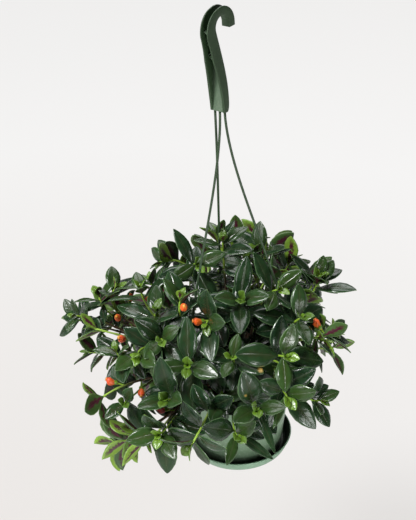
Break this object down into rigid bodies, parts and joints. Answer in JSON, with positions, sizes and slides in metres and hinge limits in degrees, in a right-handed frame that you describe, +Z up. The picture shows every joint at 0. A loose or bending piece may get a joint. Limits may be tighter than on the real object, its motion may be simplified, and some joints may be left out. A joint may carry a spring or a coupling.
{
  "type": "potted goldfish plant",
  "caption": "Goldfish plant with glossy paired leaves and orange pouch flowers in a green plastic hanging pot with a clip-on saucer and a three-strand hook hanger.",
  "frame": {"origin": "the seat inside the top of the hanger's crook, where the rail or hook that carries the pot bears", "axes": "+Z up along the pot's axis, through the seat; -Y towards the side of the plant that is seen from the front; +X to the right from the front"},
  "size_m": [0.3655, 0.3781, 0.561],
  "materials": {
    "pot_plastic": "satin moulded plastic, pale grey-green",
    "saucer_plastic": "satin moulded plastic, mid green",
    "hanger_plastic": "semi-gloss moulded plastic, dark green",
    "soil": "crumbly potting soil, nearly black brown",
    "foliage": "waxy glossy leaf, dark green, on brown-red to green stems",
    "flower": "soft satin petal, orange-red"
  },
  "bodies": {
    "root": {"saucer": "saucer_plastic", "pot": "pot_plastic", "soil": "soil", "hanger_hook": "hanger_plastic", "hanger_strand_1": "hanger_plastic", "hanger_strand_2": "hanger_plastic", "hanger_strand_3": "hanger_plastic", "shoot_left_1": "foliage", "shoot_left_2": "foliage", "shoot_left_3": "foliage", "shoot_left_4": "foliage", "shoot_left_5": "foliage", "shoot_left_6": "foliage", "shoot_low_1": "foliage", "shoot_low_2": "foliage", "shoot_front_1": "foliage", "shoot_front_2": "foliage", "shoot_front_3": "foliage", "shoot_front_4": "foliage", "shoot_front_5": "foliage", "shoot_front_6": "foliage", "shoot_front_7": "foliage", "shoot_front_8": "foliage", "shoot_front_9": "foliage", "shoot_right_1": "foliage", "shoot_right_2": "foliage", "shoot_right_3": "foliage", "shoot_right_4": "foliage", "shoot_top_1": "foliage", "shoot_top_2": "foliage", "shoot_top_3": "foliage", "shoot_top_4": "foliage", "shoot_top_5": "foliage", "shoot_top_6": "foliage", "shoot_top_7": "foliage", "shoot_top_8": "foliage", "shoot_top_9": "foliage", "shoot_back_1": "foliage", "shoot_back_2": "foliage", "shoot_back_3": "foliage", "shoot_back_4": "foliage", "shoot_back_5": "foliage", "shoot_back_6": "foliage", "shoot_back_7": "foliage", "shoot_back_8": "foliage", "shoot_back_9": "foliage", "shoot_back_10": "foliage", "shoot_back_11": "foliage", "shoot_back_12": "foliage", "shoot_back_13": "foliage", "bloom_1": "flower", "bloom_2": "flower", "bloom_3": "flower", "bloom_4": "flower", "bloom_5": "flower", "bloom_6": "flower", "bloom_7": "flower", "bloom_8": "flower", "bloom_9": "flower", "bloom_10": "flower"}
  },
  "joints": []
}
